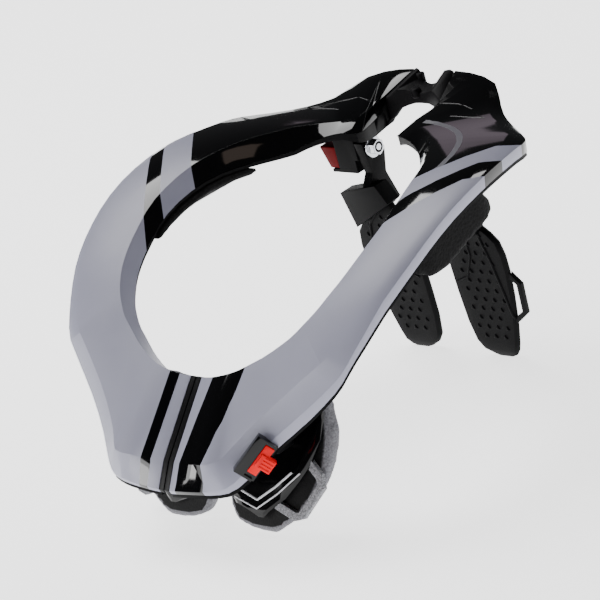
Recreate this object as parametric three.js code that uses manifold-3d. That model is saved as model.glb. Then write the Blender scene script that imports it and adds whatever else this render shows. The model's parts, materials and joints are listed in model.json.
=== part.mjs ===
// Neck brace for motocross riders, in millimetres, +Z up.
// +X is the wearer's left, -Y the front. The brace stands on its two chest paddles and two
// back wings, and its origin lies on the floor under the middle of its box.
import * as THREE from "three";
import { mergeVertices } from "three/addons/utils/BufferGeometryUtils.js";
import Module from "manifold-3d";

const wasm = await Module();
wasm.setup();

// Collar
const collar_width = 260; // over the shoulders
const collar_length = 284; // from the front edge to the rear edge
const collar_top = 168; // floor to the highest crease, at the rear
const collar_steps = 46; // stations along each half
const skin = 3; // wall of the moulded shells
const rim_drop = 10; // unit of height for the sloping rim band
const lip = 6.5; // height of the outer lip
const lip_lean = 0.8; // how far the lip's lower edge lies inward
const wall_drop = 10; // height of the inner wall at the front
const wall_in = 7; // how far the inner wall's foot reaches into the neck opening
const frame_edge = 1.8; // black edge of the under-frame below the shell
const frame_inset = 0.6;
const frame_gap = 0.5; // between the shell's wall and the under-frame
const frame_play = 0.8; // under the shell's roof
const fit = 0.35; // gap between pieces that are fastened to each other
const sliver = 0.02; // a cut leaves no facet thinner than this
const front_gap = 0.7; // between the two halves at the front
const trim_width = 3.6; // rubber trim on each front end
const skin_at_inner = 0.6; // how the wall's inner face steps in, as shares of skin
const skin_at_crease = 0.3;
const skin_at_lip = 0.8;
const bridge_rear_gap = 0.85; // from the shells' rear corners to the bridge
const bridge_front_gap = 1.3;
const bridge_set_back = 1; // of its middle
const bridge_tilt = 1; // how much lower its front edge lies at the middle
const bridge_thick = 5;
const bridge_waist = 12; // depth of the bridge at the middle
const bridge_sag = 6.5; // how much lower its middle lies
const bridge_wall = 15; // height of its front wall at the ends
const bridge_wall_thick = 3;

// Shoulder pads
const shoulder_inner_set = 3; // how far they show inside the collar's inner foot
const shoulder_inner_thick = 3;
const shoulder_outer_x = 117;
const shoulder_hang = 22; // below the rim at the outer edge
const shoulder_front = 84; // from the paddles' floor line to the pad's front end
const shoulder_length = 71;

// Chest paddles
const paddle_set = 32; // from the collar's front edge to the paddles' floor line
const chest_lean = 0.4; // run back for each unit of rise
const chest_wrap = 5; // how far the outer edge curves back
const chest_height = 74;
const chest_width = 77;
const chest_gap = 8; // between the two foam pads
const chest_flat = 0.35; // share of the width, from the inner edge, that stays flat
const chest_plate_thick = 4;
const chest_pad_thick = 9;
const chest_pad_bevel = 1.5;
const chest_plate_bevel = 1;
const hanger_width = 20;
const hanger_x = 50;
const hanger_deep = 12;
const hanger_z = 50;
const hanger_rise = 0.573; // share of collar_top that ends it inside the under-frame, which cuts it
const chest_loop_band = 4.8; // width of the strap loops' bar
const wing_loop_band = 3.2;
const loop_thick = 3;

// Back wings and their struts
const wing_behind_bolt = 3.5; // from the bolt to the middle of the wings
const wing_thick = 5;
const wing_bevel = 2;
const wing_lean = 0.06; // run forward for each unit of rise
const wing_width = 47;
const wing_cover = 16; // how far the wing reaches up behind the knuckle
const wing_gap = 22; // between the two wings
const bolt_from_rear = 38.5; // from the collar's rear edge
const bolt_drop = 35; // below the highest crease
const bore_over = 1; // how far the bore's cutter reaches past the plate
const bolt_radius = 3.2;
const bolt_head_radius = 5;
const bolt_head_long = 4;
const washer_radius = 6.6;
const washer_thick = 1.2;
const strut_x = 30.5; // middle of the strut plate
const strut_thick = 6;
const running_gap = 0.4; // round the bolt and beside the turning plate
const knuckle_deep = 11;
const knuckle_drop = 48; // from the bolt to the knuckle's foot
const knuckle_tall = 28;
const knuckle_inner_x = 15;
const knuckle_outer_x = 51.5;
const knuckle_outer_rise = 0.78; // heights of its side corners, as shares of its own
const knuckle_inner_rise = 0.6;
const knuckle_foot_in = 6.5; // from its outer side to its foot
const knuckle_head_in = 7; // from its inner side to its head
const strut_ahead = 8; // of the bolt
const strut_behind = 6;
const strut_over = 4.5; // above the bolt
const strut_bulge = 3.8; // of its rear edge
const strut_bulge_drop = 4; // below the bolt
const strut_waist_drop = 18.5;
const strut_front_waist = 5; // ahead of the bolt
const strut_front_drop = 15;
const strut_heel = 12; // behind the bolt
const strut_heel_rise = 11; // above the knuckle's foot
const strut_foot_rise = 8;
const strut_toe = 2; // inside the knuckle's upper front edge
const bracket_outer_x = 51;
const bracket_shelf = 6; // floor of the bracket under the adjuster
const bracket_deep = 12;
const bracket_drop = 14.8; // from the bolt to the bracket's floor
const bracket_ahead = 7.5; // of the bolt
const bracket_floor = 2;
const lug_thick = 5;
const adjuster_width = 12.5;
const adjuster_tall = 13.5;
const adjuster_foot = 0.58; // share of its width at the foot

// Front latch, on the wearer's left half only
const latch_share = 0.19; // place of its middle, as a share of the way round
const latch_wall = 1.5; // thickness of its end walls
const latch_wall_down = 0.7; // how far down the end walls reach, as a share of latch_down
const latch_sink = 1; // how far its cutter reaches into the shell
const latch_up = 6.8; // above and below the lip's upper line
const latch_down = 6;
const latch_back = 2; // thickness of the back plate
const latch_ridge = 4.4; // thickness at the ridge
const latch_ridge_down = -1.2;
const slider_start = -6; // along the lip from the latch's middle
const slider_end = 12;
const slider_wide = 5.4;
const slider_thick = 2.6;
const slider_travel = 2.5; // towards the front
const thumb_start = -1;
const thumb_end = 7;
const thumb_down = 9.4;
const thumb_thick = 4;
const thumb_set = 1; // below the slider's upper edge
const thumb_ribs = 4;
const thumb_rib_top = 0.6; // where the ribs start, as a share of slider_wide
const thumb_rib = 0.7;

// Side view of the collar's creases: share of the length from the front, share of the height.
const side_view = [
  { y: 0.0, z: 0.338 },
  { y: 0.018, z: 0.34 },
  { y: 0.042, z: 0.351 },
  { y: 0.069, z: 0.396 },
  { y: 0.097, z: 0.441 },
  { y: 0.13, z: 0.499 },
  { y: 0.157, z: 0.553 },
  { y: 0.184, z: 0.604 },
  { y: 0.217, z: 0.65 },
  { y: 0.256, z: 0.709 },
  { y: 0.295, z: 0.767 },
  { y: 0.327, z: 0.801 },
  { y: 0.369, z: 0.839 },
  { y: 0.414, z: 0.874 },
  { y: 0.465, z: 0.905 },
  { y: 0.518, z: 0.929 },
  { y: 0.57, z: 0.945 },
  { y: 0.623, z: 0.955 },
  { y: 0.676, z: 0.957 },
  { y: 0.729, z: 0.952 },
  { y: 0.782, z: 0.944 },
  { y: 0.834, z: 0.933 },
  { y: 0.88, z: 0.932 },
  { y: 0.915, z: 0.938 },
  { y: 0.951, z: 0.957 },
  { y: 0.982, z: 0.982 },
  { y: 1.0, z: 1.0 },
];

// Sections of one half in plan, from the front seam round to the rear bridge.
// x is a share of the half width, y of the length; drops are shares of the rim drop
// below the side view. lip, in and wall are shares of the lip's height and of the inner
// wall's reach and height, and edge of the under-frame's inner edge.
const sections = [
  { ox: 0.0, oy: 0.004, od: 1.76, cx: 0.0, cy: 0.036, cd: 0.6, ix: 0.0, iy: 0.163, id: 0.86, lip: 0.35, in: 1, wall: 0.9, edge: 1 },
  { ox: 0.09, oy: 0.0, od: 1.6, cx: 0.075, cy: 0.027, cd: 0.4, ix: 0.045, iy: 0.161, id: 0.75, lip: 0.35, in: 1, wall: 0.9, edge: 1 },
  { ox: 0.19, oy: 0.003, od: 1.52, cx: 0.168, cy: 0.02, cd: 0.15, ix: 0.11, iy: 0.158, id: 0.45, lip: 0.35, in: 1, wall: 0.9, edge: 1 },
  { ox: 0.27, oy: 0.013, od: 1.5, cx: 0.245, cy: 0.018, cd: 0.0, ix: 0.175, iy: 0.159, id: 0.28, lip: 0.42, in: 1, wall: 0.9, edge: 1 },
  { ox: 0.335, oy: 0.023, od: 1.35, cx: 0.295, cy: 0.034, cd: 0.0, ix: 0.24, iy: 0.166, id: 0.28, lip: 0.55, in: 1, wall: 0.9, edge: 1 },
  { ox: 0.394, oy: 0.046, od: 1.05, cx: 0.332, cy: 0.055, cd: 0.0, ix: 0.303, iy: 0.177, id: 0.32, lip: 0.75, in: 1, wall: 0.9, edge: 1 },
  { ox: 0.465, oy: 0.077, od: 0.92, cx: 0.398, cy: 0.083, cd: 0.0, ix: 0.364, iy: 0.19, id: 0.36, lip: 0.9, in: 1, wall: 0.9, edge: 1 },
  { ox: 0.574, oy: 0.115, od: 0.88, cx: 0.492, cy: 0.116, cd: 0.0, ix: 0.436, iy: 0.208, id: 0.28, lip: 1, in: 1, wall: 0.9, edge: 1 },
  { ox: 0.682, oy: 0.147, od: 0.9, cx: 0.586, cy: 0.144, cd: 0.0, ix: 0.491, iy: 0.222, id: 0.18, lip: 1, in: 1, wall: 0.9, edge: 1 },
  { ox: 0.77, oy: 0.172, od: 0.86, cx: 0.675, cy: 0.169, cd: 0.0, ix: 0.53, iy: 0.237, id: 0.13, lip: 0.9, in: 1, wall: 0.9, edge: 1 },
  { ox: 0.825, oy: 0.189, od: 0.66, cx: 0.733, cy: 0.186, cd: 0.0, ix: 0.563, iy: 0.252, id: 0.13, lip: 0.75, in: 1, wall: 0.9, edge: 1 },
  { ox: 0.861, oy: 0.216, od: 0.4, cx: 0.777, cy: 0.212, cd: 0.0, ix: 0.591, iy: 0.269, id: 0.18, lip: 0.75, in: 1, wall: 0.9, edge: 1 },
  { ox: 0.896, oy: 0.249, od: 0.33, cx: 0.82, cy: 0.244, cd: 0.0, ix: 0.619, iy: 0.292, id: 0.26, lip: 0.85, in: 1, wall: 0.9, edge: 1 },
  { ox: 0.93, oy: 0.29, od: 0.32, cx: 0.864, cy: 0.282, cd: 0.0, ix: 0.639, iy: 0.314, id: 0.3, lip: 1, in: 1, wall: 0.9, edge: 1 },
  { ox: 0.96, oy: 0.335, od: 0.32, cx: 0.892, cy: 0.327, cd: 0.0, ix: 0.658, iy: 0.345, id: 0.3, lip: 1, in: 1, wall: 0.9, edge: 1 },
  { ox: 0.981, oy: 0.384, od: 0.3, cx: 0.919, cy: 0.38, cd: 0.0, ix: 0.675, iy: 0.388, id: 0.3, lip: 1, in: 1, wall: 0.9, edge: 1 },
  { ox: 0.994, oy: 0.437, od: 0.26, cx: 0.935, cy: 0.435, cd: 0.0, ix: 0.69, iy: 0.44, id: 0.25, lip: 1, in: 1, wall: 0.9, edge: 1 },
  { ox: 1.0, oy: 0.5, od: 0.24, cx: 0.939, cy: 0.496, cd: 0.0, ix: 0.68, iy: 0.491, id: 0.2, lip: 1, in: 1, wall: 0.92, edge: 1 },
  { ox: 0.997, oy: 0.567, od: 0.26, cx: 0.932, cy: 0.56, cd: 0.0, ix: 0.655, iy: 0.549, id: 0.15, lip: 1, in: 1, wall: 1.0, edge: 1 },
  { ox: 0.986, oy: 0.627, od: 0.28, cx: 0.916, cy: 0.616, cd: 0.0, ix: 0.618, iy: 0.606, id: 0.17, lip: 1, in: 1.05, wall: 1.1, edge: 1 },
  { ox: 0.965, oy: 0.68, od: 0.3, cx: 0.893, cy: 0.667, cd: 0.0, ix: 0.57, iy: 0.65, id: 0.18, lip: 1, in: 1.15, wall: 1.2, edge: 1 },
  { ox: 0.934, oy: 0.736, od: 0.3, cx: 0.861, cy: 0.718, cd: 0.0, ix: 0.512, iy: 0.69, id: 0.17, lip: 1, in: 1.3, wall: 1.25, edge: 1 },
  { ox: 0.906, oy: 0.776, od: 0.35, cx: 0.83, cy: 0.76, cd: 0.0, ix: 0.444, iy: 0.727, id: 0.15, lip: 1, in: 1.4, wall: 1.2, edge: 1.2 },
  { ox: 0.858, oy: 0.799, od: 0.33, cx: 0.786, cy: 0.783, cd: 0.0, ix: 0.388, iy: 0.755, id: 0.13, lip: 1, in: 1.5, wall: 0.9, edge: 1.5 },
  { ox: 0.742, oy: 0.835, od: 0.25, cx: 0.682, cy: 0.815, cd: 0.0, ix: 0.316, iy: 0.776, id: 0.15, lip: 1, in: 1.5, wall: 0.6, edge: 1.8 },
  { ox: 0.63, oy: 0.873, od: 0.35, cx: 0.57, cy: 0.851, cd: 0.0, ix: 0.26, iy: 0.792, id: 0.15, lip: 1, in: 1.6, wall: 0.45, edge: 2 },
  { ox: 0.55, oy: 0.9, od: 0.38, cx: 0.497, cy: 0.88, cd: 0.0, ix: 0.2, iy: 0.805, id: 0.15, lip: 1, in: 1.6, wall: 0.45, edge: 2.5 },
  { ox: 0.463, oy: 0.937, od: 0.32, cx: 0.418, cy: 0.917, cd: 0.0, ix: 0.15, iy: 0.822, id: 0.1, lip: 1, in: 1.5, wall: 0.55, edge: 3.3 },
  { ox: 0.37, oy: 0.98, od: 0.3, cx: 0.33, cy: 0.957, cd: 0.0, ix: 0.146, iy: 0.858, id: 0.0, lip: 1, in: 1, wall: 0.7, edge: 4.3 },
  { ox: 0.235, oy: 0.997, od: 0.26, cx: 0.22, cy: 0.972, cd: 0.0, ix: 0.15, iy: 0.89, id: 0.0, lip: 1, in: 0.5, wall: 0.75, edge: 4.8 },
  { ox: 0.094, oy: 1.0, od: 0.2, cx: 0.108, cy: 0.976, cd: 0.0, ix: 0.153, iy: 0.918, id: 0.0, lip: 1, in: 0.3, wall: 0.75, edge: 4.8 },
];

// Outlines of the paddles and wings: a row for each level, up from the floor.
// z is a share of the height; from and to are shares of the width, from the inner edge out.
const chest_pad_rows = [
  { z: 0.0, from: 0.334, to: 0.496 },
  { z: 0.012, from: 0.253, to: 0.517 },
  { z: 0.034, from: 0.183, to: 0.55 },
  { z: 0.068, from: 0.092, to: 0.61 },
  { z: 0.15, from: 0.043, to: 0.733 },
  { z: 0.255, from: 0.018, to: 0.847 },
  { z: 0.378, from: 0.008, to: 0.927 },
  { z: 0.486, from: 0.0, to: 0.97 },
  { z: 0.62, from: 0.0, to: 0.997 },
  { z: 0.723, from: 0.0, to: 1.0 },
  { z: 0.81, from: 0.027, to: 0.97 },
  { z: 0.89, from: 0.108, to: 0.948 },
  { z: 0.96, from: 0.28, to: 0.927 },
  { z: 1.0, from: 0.474, to: 0.884 },
];
const chest_plate_rows = [
  { z: 0.135, from: 0.377, to: 0.429 },
  { z: 0.176, from: 0.26, to: 0.474 },
  { z: 0.209, from: 0.152, to: 0.519 },
  { z: 0.284, from: 0.091, to: 0.636 },
  { z: 0.405, from: 0.071, to: 0.753 },
  { z: 0.514, from: 0.065, to: 0.844 },
  { z: 0.703, from: 0.065, to: 0.935 },
  { z: 0.838, from: 0.104, to: 0.948 },
  { z: 0.919, from: 0.208, to: 0.929 },
  { z: 0.959, from: 0.39, to: 0.896 },
];
const wing_rows = [
  { z: 0.0, from: 0.38, to: 0.575 },
  { z: 0.015, from: 0.28, to: 0.66 },
  { z: 0.05, from: 0.15, to: 0.72 },
  { z: 0.104, from: 0.065, to: 0.765 },
  { z: 0.228, from: 0.017, to: 0.84 },
  { z: 0.426, from: 0.0, to: 0.925 },
  { z: 0.584, from: 0.0, to: 0.97 },
  { z: 0.683, from: 0.02, to: 0.975 },
  { z: 0.767, from: 0.065, to: 0.94 },
  { z: 0.822, from: 0.105, to: 0.84 },
  { z: 0.89, from: 0.15, to: 0.66 },
  { z: 0.96, from: 0.19, to: 0.45 },
  { z: 1.0, from: 0.245, to: 0.34 },
];

// Middle lines of the strap loops, from seat to seat, in the same shares.
const chest_loop_line = [
  { x: 0.545, z: 0.23 },
  { x: 0.597, z: 0.209 },
  { x: 0.725, z: 0.158 },
  { x: 0.777, z: 0.169 },
  { x: 0.942, z: 0.378 },
  { x: 0.922, z: 0.446 },
  { x: 0.831, z: 0.541 },
];
const wing_loop_line = [
  { x: 0.88, z: 0.585 },
  { x: 0.95, z: 0.56 },
  { x: 1.07, z: 0.505 },
  { x: 1.03, z: 0.32 },
  { x: 0.85, z: 0.26 },
  { x: 0.78, z: 0.24 },
];

const floor_line = -collar_length / 2 + paddle_set;
const bolt_place = collar_length / 2 - bolt_from_rear;
const bolt_z = collar_top - bolt_drop;
const knuckle_z = bolt_z - knuckle_drop;
const bracket_z = bolt_z - bracket_drop;
const wing_height = knuckle_z + wing_cover;
const half_width = collar_width / 2;
const shell_start = front_gap / 2 + trim_width + fit;

const finish = (color, roughness, metalness = 0) =>
  new THREE.MeshStandardMaterial({ color, roughness, metalness });
const grey_shell = finish("#aeafbb", 0.4);
const black_nylon = finish("#17181a", 0.55);
const gloss_black = finish("#08090a", 0.12);
const black_rubber = finish("#26272a", 0.8);
const black_foam = finish("#1b1c1e", 0.95);
const grey_foam = finish("#77787c", 0.9);
const red_plastic = finish("#c8141b", 0.3);
const bright_steel = finish("#d4d6da", 0.22, 1);

const at = (x, y, z) => new THREE.Vector3(x, y, z);
const down = (by) => at(0, 0, -by);

// Turns one flat ring of points into triangles that point along its normal.
function capTriangles(ring) {
  const normal = at(0, 0, 0);
  ring.forEach((p, i) => normal.add(p.clone().cross(ring[(i + 1) % ring.length])));
  normal.normalize();
  const across = at(0, 0, 1).cross(normal);
  if (across.length() < 0.1) across.set(1, 0, 0);
  across.normalize();
  const up = normal.clone().cross(across);
  const flat = ring.map((p) => new THREE.Vector2(p.dot(across), p.dot(up)));
  return THREE.ShapeUtils.triangulateShape(flat, []).map(([a, b, c]) => {
    const ab = flat[b].clone().sub(flat[a]);
    const ac = flat[c].clone().sub(flat[a]);
    return ab.cross(ac) > 0 ? [a, b, c] : [a, c, b];
  });
}

// A closed solid through rings with equal numbers of points.
function loft(rings) {
  const count = rings[0].length;
  const points = rings.flat();
  const faces = [];
  for (let i = 0; i + 1 < rings.length; i++) {
    for (let j = 0; j < count; j++) {
      const a = i * count + j;
      const b = i * count + ((j + 1) % count);
      faces.push([a, b, b + count], [a, b + count, a + count]);
    }
  }
  const last = (rings.length - 1) * count;
  capTriangles(rings[0]).forEach(([a, b, c]) => faces.push([a, c, b]));
  capTriangles(rings.at(-1)).forEach(([a, b, c]) => faces.push([last + a, last + b, last + c]));
  return solidFrom(points, faces);
}

function solidFrom(points, faces) {
  const volume = faces.reduce(
    (sum, [a, b, c]) => sum + points[a].dot(points[b].clone().cross(points[c])),
    0,
  );
  const index = faces.flatMap(([a, b, c]) => (volume > 0 ? [a, b, c] : [a, c, b]));
  const geometry = new THREE.BufferGeometry();
  geometry.setAttribute(
    "position",
    new THREE.Float32BufferAttribute(points.flatMap((p) => p.toArray()), 3),
  );
  geometry.setIndex(index);
  return geometry;
}

function toManifold(geometry) {
  const bare = new THREE.BufferGeometry();
  bare.setAttribute("position", geometry.getAttribute("position").clone());
  if (geometry.index) bare.setIndex(geometry.index.clone());
  const merged = mergeVertices(bare, 1e-4);
  return new wasm.Manifold(
    new wasm.Mesh({
      numProp: 3,
      vertProperties: merged.attributes.position.array,
      triVerts: new Uint32Array(merged.index.array),
    }),
  );
}

function fromManifold(solid) {
  const { vertProperties, triVerts } = solid.getMesh();
  const geometry = new THREE.BufferGeometry();
  geometry.setAttribute("position", new THREE.Float32BufferAttribute(vertProperties, 3));
  geometry.setIndex([...triVerts]);
  return geometry;
}

const cut = (geometry, ...tools) =>
  fromManifold(
    tools.reduce((a, b) => a.subtract(toManifold(b)), toManifold(geometry)).simplify(sliver),
  );
const join = (geometry, ...others) =>
  fromManifold(others.reduce((a, b) => a.add(toManifold(b)), toManifold(geometry)));
const moved = (geometry, x, y, z) => geometry.clone().translate(x, y, z);

// The largest body that is left of a solid.
const largest = (geometry) =>
  fromManifold(toManifold(geometry).decompose().reduce((a, b) => (a.volume() > b.volume() ? a : b)));

// A solid with its corners that lie closer than a reach made one, and its slivers left out.
function welded(geometry, reach) {
  const bare = new THREE.BufferGeometry();
  bare.setAttribute("position", geometry.getAttribute("position").clone());
  bare.setIndex(geometry.index.clone());
  const merged = mergeVertices(bare, reach);
  const old = [...merged.index.array];
  const faces = Array.from({ length: old.length / 3 }, (_, i) => old.slice(3 * i, 3 * i + 3));
  merged.setIndex(faces.filter(([a, b, c]) => a !== b && b !== c && c !== a).flat());
  return fromManifold(toManifold(merged));
}

// What is left of a solid below a roof that it reaches into.
const below = (geometry, roof) =>
  welded(largest(cut(geometry, moved(roof, 0, 0, -fit))), sliver);

// A block between two corners.
function block(low, high) {
  const size = high.clone().sub(low);
  const middle = low.clone().add(high).multiplyScalar(0.5);
  return moved(new THREE.BoxGeometry(size.x, size.y, size.z), middle.x, middle.y, middle.z);
}

// A flat plate with an outline in y and z, between two places on X.
function sidePlate(outline, from, to) {
  const rings = [from, to].map((x) => outline.map(([y, z]) => at(x, y, z)));
  return loft(rings);
}

// A rod along X.
function rod(radius, from, to, y, z, sides = 20) {
  const geometry = new THREE.CylinderGeometry(radius, radius, to - from, sides);
  geometry.rotateZ(Math.PI / 2);
  return moved(geometry, (from + to) / 2, y, z);
}

// A plate that follows rows of an outline and is bevelled all round; place gives a point
// for shares across and up, and a depth. The sides are widest halfway through.
const bevel_share = 0.04;
function rowSolid(rows, columns, place, thickness, bevel) {
  const low = rows[0].z;
  const high = rows.at(-1).z;
  const rings = rows.map(({ z, from, to }) => {
    const end = Math.max(0, 1 - Math.min(z - low, high - z) / bevel_share);
    const near = bevel * end;
    const far = thickness - near;
    const inset = Math.min(bevel_share, (to - from) / 4);
    const front = [];
    const back = [];
    for (let j = 0; j <= columns; j++) {
      const x = from + inset + ((to - from - 2 * inset) * j) / columns;
      front.push(place(x, z, near));
      back.unshift(place(x, z, far));
    }
    return [
      ...front,
      place(to, z, Math.max(near, bevel)),
      place(to, z, Math.min(far, thickness - bevel)),
      ...back,
      place(from, z, Math.min(far, thickness - bevel)),
      place(from, z, Math.max(near, bevel)),
    ];
  });
  return loft(rings);
}

// A flat bar along a line of points, wide in the plane of the line and thick across it.
function bar(points, normal, wide, thick) {
  const rings = points.map((p, i) => {
    const before = points[Math.max(i - 1, 0)];
    const after = points[Math.min(i + 1, points.length - 1)];
    const along = after.clone().sub(before).normalize();
    const side = along.clone().cross(normal).normalize().multiplyScalar(wide / 2);
    const out = normal.clone().multiplyScalar(thick / 2);
    return [
      p.clone().sub(side).sub(out),
      p.clone().add(side).sub(out),
      p.clone().add(side).add(out),
      p.clone().sub(side).add(out),
    ];
  });
  return loft(rings);
}

// Height of the creases at a place on Y.
const height_line = new THREE.CatmullRomCurve3(
  side_view.map(({ y, z }) => at(0, y, z)),
);
function creaseHeight(share) {
  let low = 0;
  let high = 1;
  for (let i = 0; i < 24; i++) {
    const middle = (low + high) / 2;
    if (height_line.getPoint(middle).y < share) low = middle;
    else high = middle;
  }
  return height_line.getPoint(low).z * collar_top;
}

function collarPoint(x_share, y_share, drop_share) {
  return at(
    shell_start + x_share * (half_width - shell_start),
    (y_share - 0.5) * collar_length,
    creaseHeight(y_share) - drop_share * rim_drop,
  );
}

const outer_line = new THREE.CatmullRomCurve3(
  sections.map((s) => collarPoint(s.ox, s.oy, s.od)),
);
const crease_line = new THREE.CatmullRomCurve3(
  sections.map((s) => collarPoint(s.cx, s.cy, s.cd)),
);
const inner_line = new THREE.CatmullRomCurve3(
  sections.map((s) => collarPoint(s.ix, s.iy, s.id)),
);
const wall_line = new THREE.CatmullRomCurve3(
  sections.map((s) => at(s.in, s.wall, 0)),
);
const edge_line = new THREE.CatmullRomCurve3(
  sections.map((s) => at(s.lip, s.edge, 0)),
);

// Corner points of the collar's section at a share of the way round one half.
function collarSection(share) {
  const outer = outer_line.getPoint(share);
  const crease = crease_line.getPoint(share);
  const inner = inner_line.getPoint(share);
  const inward = inner.clone().sub(outer).setZ(0).normalize();
  const step = (by) => inward.clone().multiplyScalar(by);
  const wall = wall_line.getPoint(share);
  const edge = edge_line.getPoint(share);
  const lip_tall = lip * edge.x;
  const foot = inner.clone().add(step(wall_in * wall.x)).add(down(wall_drop * wall.y));
  const lip_foot = outer.clone().add(step(lip_lean)).add(down(lip_tall));
  const under = {
    foot: foot.clone().add(step(-skin)),
    inner: inner.clone().add(step(-skin * skin_at_inner)).add(down(skin)),
    crease: crease.clone().add(step(skin * skin_at_crease)).add(down(skin)),
    outer: outer.clone().add(step(skin)).add(down(Math.min(skin, lip_tall) * skin_at_lip)),
    lip: lip_foot.clone().add(step(skin)),
  };
  return { outer, crease, inner, foot, lip_foot, under, step, edge: frame_edge * edge.y };
}

function shellRing(share) {
  const s = collarSection(share);
  return [
    s.foot,
    s.inner,
    s.crease,
    s.outer,
    s.lip_foot,
    s.under.lip,
    s.under.outer,
    s.under.crease,
    s.under.inner,
    s.under.foot,
  ];
}

// The under-frame fills the shell up to a small gap, and its edges show below the shell's. Its
// ring runs the way the shell's wall does, so that their facets lie side by side.
function frameRing(share) {
  const s = collarSection(share);
  const inner_edge = s.foot.clone().add(s.step(-frame_inset)).add(down(frame_gap));
  const outer_edge = s.lip_foot.clone().add(s.step(frame_inset)).add(down(frame_gap));
  return [
    outer_edge.clone().add(down(frame_edge)),
    outer_edge,
    s.under.lip.clone().add(s.step(frame_gap)).add(down(frame_gap)),
    s.under.outer.clone().add(s.step(frame_gap)).add(down(frame_gap)),
    s.under.crease.clone().add(down(frame_play)),
    s.under.inner.clone().add(s.step(-frame_gap)).add(down(frame_gap)),
    s.under.foot.clone().add(s.step(-frame_gap)).add(down(frame_gap)),
    inner_edge,
    inner_edge.clone().add(down(s.edge)),
    s.under.foot.clone().add(s.step(-frame_edge)).add(down(frame_gap + s.edge)),
    s.under.lip.clone().add(s.step(frame_edge)).add(down(frame_gap + frame_edge)),
  ];
}

const stations = Array.from({ length: collar_steps + 1 }, (_, i) => i / collar_steps);
const collar_shell = loft(stations.map(shellRing));
const collar_frame = loft(stations.map(frameRing));

// Rubber trim over the front end of one half, with the end's own section.
function frontTrim() {
  const ring = shellRing(0);
  return loft([
    ring.map((p) => p.clone().setX(front_gap / 2 + trim_width)),
    ring.map((p) => p.clone().setX(front_gap / 2)),
  ]);
}

// Rubber bridge between the rear ends, lower and narrower in the middle. x is a share of
// its half width, rise of its sag, waist of its narrowing and wall of its front wall.
const bridge_rows = [
  { x: 1.0, rise: 0.0, waist: 0.0, wall: 1.0 },
  { x: 0.86, rise: 0.22, waist: 0.1, wall: 0.94 },
  { x: 0.66, rise: 0.2, waist: 0.42, wall: 0.8 },
  { x: 0.46, rise: -0.5, waist: 0.72, wall: 0.66 },
  { x: 0.24, rise: -0.88, waist: 0.94, wall: 0.5 },
  { x: 0.0, rise: -1.0, waist: 1.0, wall: 0.45 },
];
function rearBridge() {
  const end = collarSection(1);
  const middle_y = (end.outer.y + end.inner.y) / 2 + bridge_set_back;
  const half = bridge_waist / 2;
  const ring = (row, side) => {
    const rear = at(
      side * row.x * (end.outer.x - bridge_rear_gap),
      end.outer.y + (middle_y + half - end.outer.y) * row.waist,
      end.outer.z + bridge_sag * row.rise,
    );
    const front = at(
      side * row.x * (end.inner.x - bridge_front_gap),
      end.inner.y + (middle_y - half - end.inner.y) * row.waist,
      end.inner.z + (rear.z - bridge_tilt - end.inner.z) * row.waist,
    );
    const within = at(0, bridge_wall_thick, -bridge_thick);
    return [
      front,
      rear,
      rear.clone().add(down(bridge_thick)),
      front.clone().add(within),
      front.clone().add(within).setZ(front.z - bridge_wall * row.wall),
      front.clone().add(down(bridge_wall * row.wall)),
    ];
  };
  return loft([
    ...bridge_rows.map((row) => ring(row, -1)),
    ...bridge_rows.slice(0, -1).reverse().map((row) => ring(row, 1)),
  ]);
}

// Foam wedge under the shoulder, cut to the under-frame.
const shoulder_rows = [
  { y: 0.0, top: 0.0, hang: 0.42, x: 0.84 },
  { y: 0.06, top: 0.0, hang: 0.78, x: 0.95 },
  { y: 0.2, top: 0.0, hang: 1.18, x: 1.0 },
  { y: 0.34, top: 0.0, hang: 1.3, x: 1.0 },
  { y: 0.6, top: 0.0, hang: 1.22, x: 1.0 },
  { y: 0.84, top: 0.0, hang: 1.12, x: 1.0 },
  { y: 0.92, top: 0.3, hang: 1.08, x: 0.98 },
  { y: 1.0, top: 0.6, hang: 0.98, x: 0.94 },
];
// The collar's section beside the neck opening at a place on Y.
function sideAt(y) {
  let low = 0.35;
  let high = 0.75;
  for (let i = 0; i < 24; i++) {
    const middle = (low + high) / 2;
    if (collarSection(middle).foot.y < y) low = middle;
    else high = middle;
  }
  return collarSection(low);
}
function shoulderPad() {
  const front = floor_line + shoulder_front;
  const rings = shoulder_rows.map(({ y, top, hang, x }) => {
    const place = front + y * shoulder_length;
    const { foot, lip_foot, edge } = sideAt(place);
    const inner = foot.x - shoulder_inner_set;
    const outer = inner + (shoulder_outer_x - inner) * x;
    const inner_top = foot.z - edge - 3 * fit;
    const rim = creaseHeight(place / collar_length + 0.5) - rim_drop;
    return [
      at(inner, place, inner_top),
      at(foot.x + shoulder_inner_set, place, foot.z - edge),
      at(outer, place, lip_foot.z - frame_edge - top * shoulder_hang),
      at(outer, place, rim - hang * shoulder_hang),
      at(inner, place, inner_top - shoulder_inner_thick),
    ];
  });
  return below(loft(rings), collar_frame);
}

// Chest paddles lean back as they rise and curve back at the outer edge.
const chest_inner = chest_gap / 2;
function chestPoint(x, z, depth) {
  const across = Math.max((x - chest_inner) / chest_width - chest_flat, 0) / (1 - chest_flat);
  return at(x, floor_line + chest_lean * z + chest_wrap * across ** 2 + depth, z);
}
const chestShare = (x, z, depth) =>
  chestPoint(chest_inner + x * chest_width, z * chest_height, depth);

const chest_plate = rowSolid(
  chest_plate_rows,
  6,
  (x, z, depth) => chestShare(x, z, depth - chest_plate_thick - fit),
  chest_plate_thick,
  chest_plate_bevel,
);
const chest_pad = rowSolid(chest_pad_rows, 6, chestShare, chest_pad_thick, chest_pad_bevel);

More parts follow.
